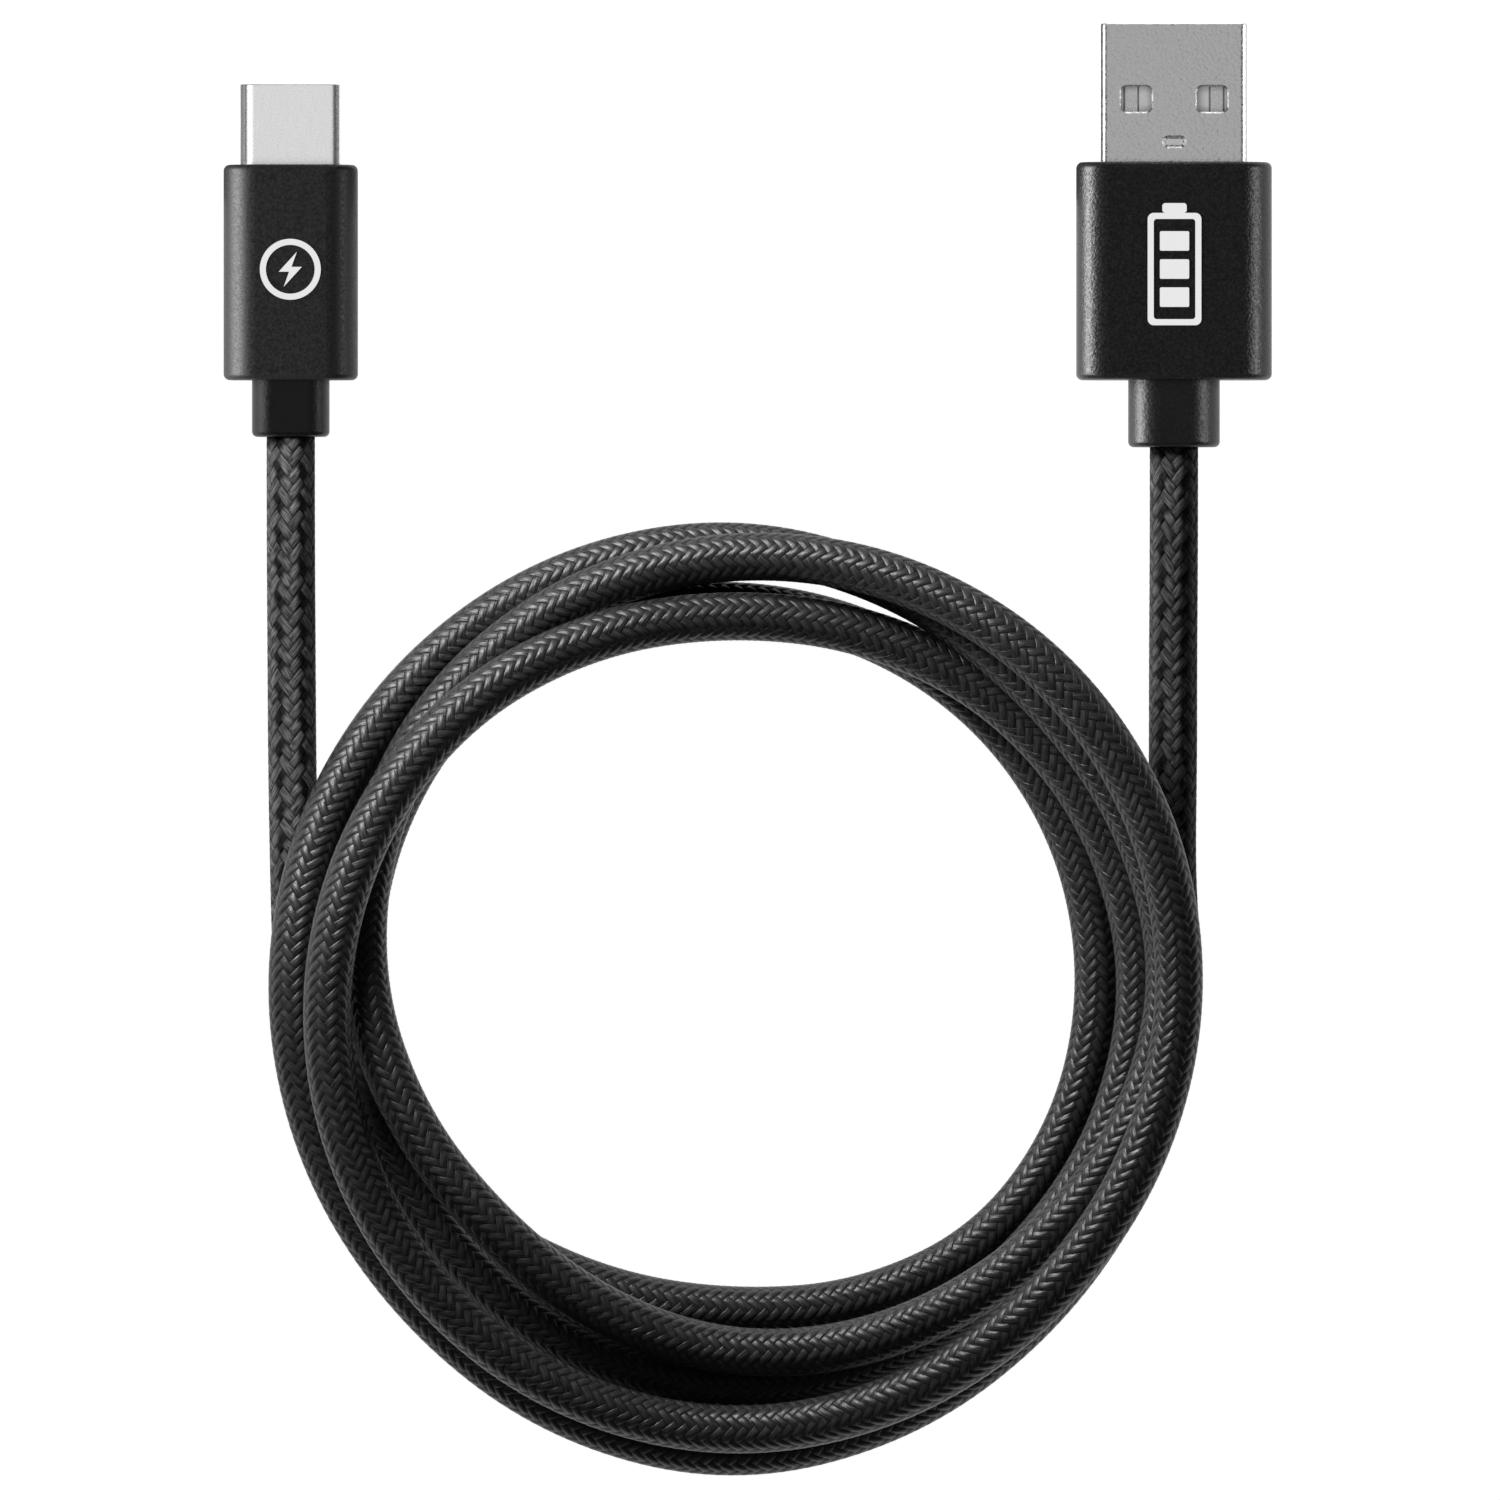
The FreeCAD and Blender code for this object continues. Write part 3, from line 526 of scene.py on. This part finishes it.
def tongue_finish():
    """Pale plastic, darker down in the grooves beside the contacts where little light reaches."""
    finish = Finish("insulator_plastic")
    place = finish.object_place()
    height = finish.node("ShaderNodeSeparateXYZ", Vector=place).outputs[2]
    contact_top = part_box("usb_a_contact_power")[1].z
    dark_height = contact_top - TONGUE_DARK_DEPTH * MM
    light_height = contact_top - TONGUE_LIGHT_DEPTH * MM
    # Painted shade down in the grooves beside the contacts, from the height below the contacts' tops.
    lit = finish.spread(height, TONGUE_DARK, TONGUE_LIGHT, dark_height, light_height)
    fine = finish.noise(place, TONGUE_GRAIN)
    shade = finish.math("MULTIPLY", lit, finish.swing(fine, 1.0, TONGUE_SHADE_SWING))
    finish.set(Base_Color=finish.colour(shade, grey(0.0), grey(1.0)), Roughness=TONGUE_ROUGHNESS)
    finish.set(Normal=finish.bump(fine, TONGUE_GRAIN_DEPTH))
    return finish.material


def brushed(name, level, roughness, line_depth):
    """Drawn metal with faint lines along the plug, and a gloss with a fine tooth."""
    finish = Finish(name)
    place = finish.object_place()
    brush_place = finish.stretched(place, BRUSH_STRETCH)
    lines = finish.node("ShaderNodeTexNoise", Vector=brush_place, Scale=1.0, Detail=3.0).outputs[0]
    tooth = finish.noise(place, BRUSH_TOOTH)
    shade = finish.math("MULTIPLY", finish.swing(lines, 1.0, BRUSH_SHADE_SWING), level)
    finish.set(Base_Color=finish.colour(shade, grey(0.0), grey(1.0)), Metallic=1.0)
    finish.set(Roughness=finish.swing(tooth, roughness, BRUSH_GLOSS_SWING))
    finish.set(Normal=finish.bump(lines, line_depth))
    return finish.material


def make_finishes():
    """One material for each of the record's slots."""
    return {
        "plug_steel": grained("plug_steel", grey(0.66), 0.3, 0.03, 0.28, metal=1.0, contrast=0.12),
        "shell_satin_steel": brushed("shell_satin_steel", 0.92, 0.3, 0.00002),
        "insulator_plastic": tongue_finish(),
        "insulator_black": grained("insulator_black", grey(0.02), 0.2, 0.006, 0.5),
        "contact_metal": brushed("contact_metal", 0.75, 0.3, 0.002),
        "spring_steel": brushed("spring_steel", 0.6, 0.35, 0.003),
        "solder": grained("solder", grey(0.6), 0.3, 0.01, 0.35, metal=1.0),
        "circuit_board": grained("circuit_board", (0.02, 0.11, 0.05), 0.3, 0.005, 0.4),
        "resistor_body": grained("resistor_body", grey(0.02), 0.1, 0.004, 0.3),
        "cable_jacket": grained("cable_jacket", grey(0.03), 0.25, 0.006, 0.55),
        "cable_braid": grained("cable_braid", grey(0.035), 0.3, 0.03, 0.5, contrast=0.6),
        "inner_filling": grained("inner_filling", (0.72, 0.72, 0.70), 0.3, 0.008, 0.5),
        "usb_a_casing": casing_finish("usb_a_casing", "usb_a_housing", 0.012, 0.22, 0.045, 0.38, 0.5),
        "usb_c_casing": casing_finish("usb_c_casing", "usb_c_housing", 0.01, 0.2, 0.012, 0.48, 0.5),
        "relief_rubber": grained("relief_rubber", grey(0.01), 0.22, 0.035, 0.4),
        "mark_ink": grained("mark_ink", grey(0.78), 0.15, 0.003, 0.6, contrast=0.05),
        "wire_power": grained("wire_power", (0.45, 0.02, 0.02), 0.3, 0.004, 0.35),
        "wire_data_minus": grained("wire_data_minus", grey(0.75), 0.3, 0.004, 0.35),
        "wire_data_plus": grained("wire_data_plus", (0.03, 0.32, 0.07), 0.3, 0.004, 0.35),
        "wire_ground": grained("wire_ground", grey(0.02), 0.3, 0.004, 0.35),
    }


def dress_cad_nodes():
    """Gives every CAD node the finish of its slot in the record."""
    finishes = make_finishes()
    for part in frame["record"]["subparts"]:
        mesh = NODES[part["node"]].data
        mesh.materials.clear()
        mesh.materials.append(finishes[part["material_slot"]])


# ---------------------------------------------------------------- the studio

def make_camera():
    lens = bpy.data.cameras.new("camera")
    lens.sensor_width = SENSOR_WIDTH
    lens.lens = SENSOR_WIDTH * (CAMERA_HEIGHT - PLUG_MIDDLE_HEIGHT) / PICTURE_WIDTH
    lens.clip_end = CAMERA_REACH
    camera = bpy.data.objects.new("camera", lens)
    camera.location = (*PICTURE_MIDDLE, CAMERA_HEIGHT)
    bpy.context.scene.collection.objects.link(camera)
    bpy.context.scene.camera = camera


def glowing_sheet(name, across, along, height, glow):
    """A flat stage piece that glows evenly. It shows in reflections but lights nothing else."""
    mesh = bpy.data.meshes.new(name)
    corners = [(across[i], along[j], height) for i, j in ((0, 0), (1, 0), (1, 1), (0, 1))]
    mesh.from_pydata(corners, [], [(0, 1, 2, 3)])
    paper = grained(
        f"{name}_paper", grey(PAPER_SHADE), PAPER_GRAIN, PAPER_GRAIN_DEPTH, PAPER_ROUGHNESS,
        specular=0.0, contrast=PAPER_CONTRAST,
    )
    shader = paper.node_tree.nodes["Principled BSDF"]
    shader.inputs["Emission Color"].default_value = (1, 1, 1, 1)
    shader.inputs["Emission Strength"].default_value = glow
    mesh.materials.append(paper)
    sheet = bpy.data.objects.new(name, mesh)
    sheet.visible_diffuse = False
    bpy.context.scene.collection.objects.link(sheet)
    return sheet


def make_floor():
    """White glowing paper, with cards either side of the USB-C shell that only reflections show."""
    floor_reach = (-FLOOR_HALF, FLOOR_HALF)
    glowing_sheet("floor", floor_reach, floor_reach, FLOOR_HEIGHT, FLOOR_GLOW)
    low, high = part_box("usb_c_shell")
    for name, start, end, glow in CARDS:
        side = low.x if end <= 0 else high.x
        across = (side + start, side + end)
        card = glowing_sheet(name, across, (low.y, low.y + CARD_LENGTH), CARD_LIFT, glow)
        card.visible_camera = False
        card.visible_shadow = False


def make_lamp(name, place, size, radiance, lit):
    """A square soft lamp that lights one collection and faces the middle of it."""
    lamp = bpy.data.lights.new(name, "AREA")
    lamp.size = size
    lamp.energy = radiance * math.pi * size ** 2
    holder = bpy.data.objects.new(name, lamp)
    holder.location = place
    corners = [
        thing.matrix_world @ Vector(corner)
        for thing in lit.objects
        for corner in thing.bound_box
    ]
    aim = sum(corners, Vector()) / len(corners) - Vector(place)
    holder.rotation_euler = aim.to_track_quat("-Z", "Y").to_euler()
    holder.light_linking.receiver_collection = lit
    bpy.context.scene.collection.objects.link(holder)


def make_room():
    """An even dim grey all round. The camera itself sees plain white."""
    world = bpy.data.worlds.new("studio")
    world.use_nodes = True
    tree = world.node_tree
    background = tree.nodes["Background"]
    rays = tree.nodes.new("ShaderNodeLightPath")
    seen = tree.nodes.new("ShaderNodeMath")
    seen.operation = "MAXIMUM"
    tree.links.new(rays.outputs["Is Camera Ray"], seen.inputs[0])
    seen.inputs[1].default_value = ROOM_LEVEL
    tree.links.new(seen.outputs[0], background.inputs["Strength"])
    background.inputs["Color"].default_value = (1, 1, 1, 1)
    bpy.context.scene.world = world


def lit_collection(name, group, cord):
    """The parts in the group, or the cord."""
    lit = bpy.data.collections.new(name)
    if group == "cord":
        lit.objects.link(cord)
        return lit
    start, slots = LIT_PARTS[group]
    for part in frame["record"]["subparts"]:
        if part["node"].startswith(start) and part["material_slot"] in slots:
            lit.objects.link(NODES[part["node"]])
    return lit


def make_studio(cord):
    """The camera, the floor, the room and the lamps."""
    make_camera()
    make_floor()
    make_room()
    for name, group, place, size, radiance in LAMPS:
        make_lamp(name, place, size, radiance, lit_collection(name, group, cord))
    bpy.context.scene.view_settings.view_transform = "Standard"


dress_cad_nodes()
make_studio(make_cord())
